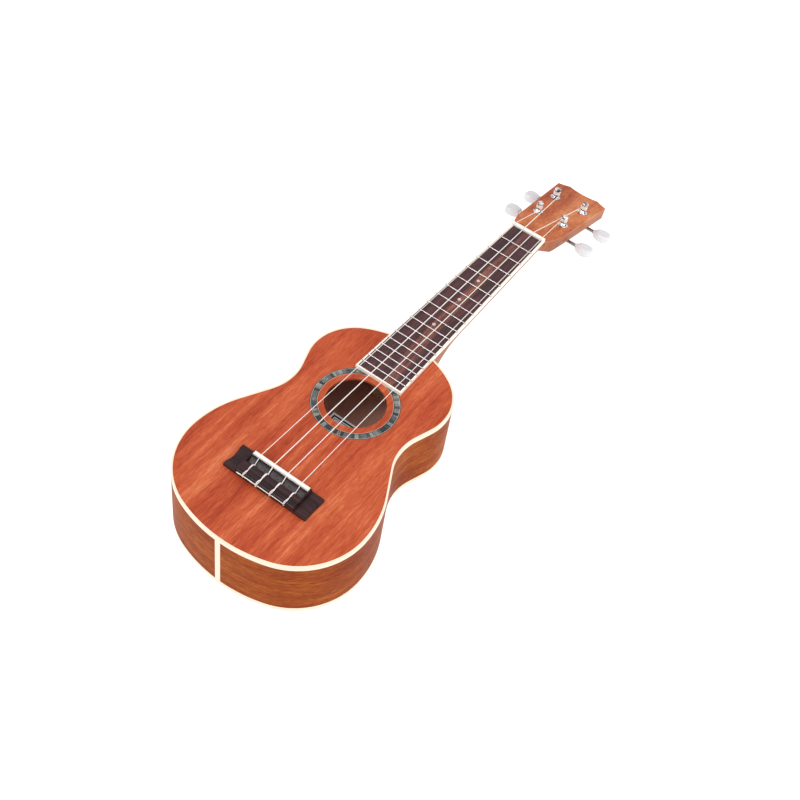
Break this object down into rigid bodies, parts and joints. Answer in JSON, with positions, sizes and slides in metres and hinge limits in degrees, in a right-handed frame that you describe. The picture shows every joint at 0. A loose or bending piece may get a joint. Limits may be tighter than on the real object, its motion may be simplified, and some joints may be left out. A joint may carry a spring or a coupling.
{
  "type": "ukulele",
  "caption": "Soprano ukulele with a bound mahogany body, geared tuning machines, a tie-block bridge and nylon strings, lying on its flat back.",
  "frame": {"origin": "on the centre line of the flat back's outer face, half way along the body", "axes": "+Y along the neck to the headstock, +X to the treble side, +Z out of the soundboard"},
  "size_m": [0.1668, 0.5317, 0.0717],
  "materials": {
    "top_wood": "satin lacquer over reddish mahogany",
    "side_wood": "satin lacquer over golden brown mahogany",
    "neck_wood": "satin lacquer over mahogany",
    "rosewood": "oiled rosewood",
    "dark_rosewood": "oiled dark rosewood",
    "lining_wood": "bare basswood",
    "brace_wood": "bare spruce",
    "ivoroid": "cream, lightly glossy",
    "bone": "white, polished",
    "purfling": "black and white lines",
    "shell": "shell inlay, polished",
    "label_paper": "printed border on plain paper",
    "fret_metal": "polished nickel silver",
    "plated": "nickel plated steel",
    "gear_brass": "machined brass",
    "pearl_plastic": "pearly white, moulded",
    "nylon": "clear white nylon"
  },
  "bodies": {
    "instrument": {"soundboard": "top_wood", "rosette_shell": "shell", "rosette_purflings": "purfling", "back_plate": "side_wood", "side_bass": "side_wood", "side_treble": "side_wood", "tail_strip": "ivoroid", "top_binding": "ivoroid", "back_binding": "ivoroid", "top_lining": "lining_wood", "back_lining": "lining_wood", "neck_block": "lining_wood", "tail_block": "lining_wood", "top_braces": "brace_wood", "back_braces": "brace_wood", "bridge_patch": "brace_wood", "label": "label_paper", "heel_dowels": "brace_wood", "neck": "neck_wood", "heel_cap": "ivoroid", "head_veneer": "top_wood", "fretboard": "rosewood", "fretboard_binding": "ivoroid", "frets": "fret_metal", "position_dots": "shell", "nut": "bone", "bridge": "dark_rosewood", "saddle": "bone", "tuner_bushings": "plated", "tuner_plates": "plated", "tuner_screws": "plated", "string_g": "nylon", "string_c": "nylon", "string_e": "nylon", "string_a": "nylon"},
    "post_g": {"post_g": "plated", "gear_g": "gear_brass", "gear_screw_g": "plated", "winding_g": "nylon"},
    "button_g": {"worm_g": "plated", "button_g": "pearl_plastic"},
    "post_c": {"post_c": "plated", "gear_c": "gear_brass", "gear_screw_c": "plated", "winding_c": "nylon"},
    "button_c": {"worm_c": "plated", "button_c": "pearl_plastic"},
    "post_e": {"post_e": "plated", "gear_e": "gear_brass", "gear_screw_e": "plated", "winding_e": "nylon"},
    "button_e": {"worm_e": "plated", "button_e": "pearl_plastic"},
    "post_a": {"post_a": "plated", "gear_a": "gear_brass", "gear_screw_a": "plated", "winding_a": "nylon"},
    "button_a": {"worm_a": "plated", "button_a": "pearl_plastic"}
  },
  "joints": [
    {"name": "post_g_turn", "type": "hinge", "parent": "instrument", "child": "post_g", "pos_m": [-0.0136, 0.33895, 0.04757], "axis": [0, 0.2334, 0.9724], "continuous": true},
    {"name": "button_g_turn", "type": "hinge", "parent": "instrument", "child": "button_g", "pos_m": [-0.0136, 0.34348, 0.03517], "axis": [1, 0, 0], "continuous": true},
    {"name": "post_c_turn", "type": "hinge", "parent": "instrument", "child": "post_c", "pos_m": [-0.0151, 0.3759, 0.0387], "axis": [0, 0.2334, 0.9724], "continuous": true},
    {"name": "button_c_turn", "type": "hinge", "parent": "instrument", "child": "button_c", "pos_m": [-0.0151, 0.38043, 0.0263], "axis": [1, 0, 0], "continuous": true},
    {"name": "post_e_turn", "type": "hinge", "parent": "instrument", "child": "post_e", "pos_m": [0.0151, 0.3759, 0.0387], "axis": [0, 0.2334, 0.9724], "continuous": true},
    {"name": "button_e_turn", "type": "hinge", "parent": "instrument", "child": "button_e", "pos_m": [0.0151, 0.38043, 0.0263], "axis": [1, 0, 0], "continuous": true},
    {"name": "post_a_turn", "type": "hinge", "parent": "instrument", "child": "post_a", "pos_m": [0.0136, 0.33895, 0.04757], "axis": [0, 0.2334, 0.9724], "continuous": true},
    {"name": "button_a_turn", "type": "hinge", "parent": "instrument", "child": "button_a", "pos_m": [0.0136, 0.34348, 0.03517], "axis": [1, 0, 0], "continuous": true}
  ],
  "couplings": [
    {"joint": "post_g_turn", "follows": "button_g_turn", "ratio": -0.071429},
    {"joint": "post_c_turn", "follows": "button_c_turn", "ratio": -0.071429},
    {"joint": "post_e_turn", "follows": "button_e_turn", "ratio": 0.071429},
    {"joint": "post_a_turn", "follows": "button_a_turn", "ratio": 0.071429}
  ]
}
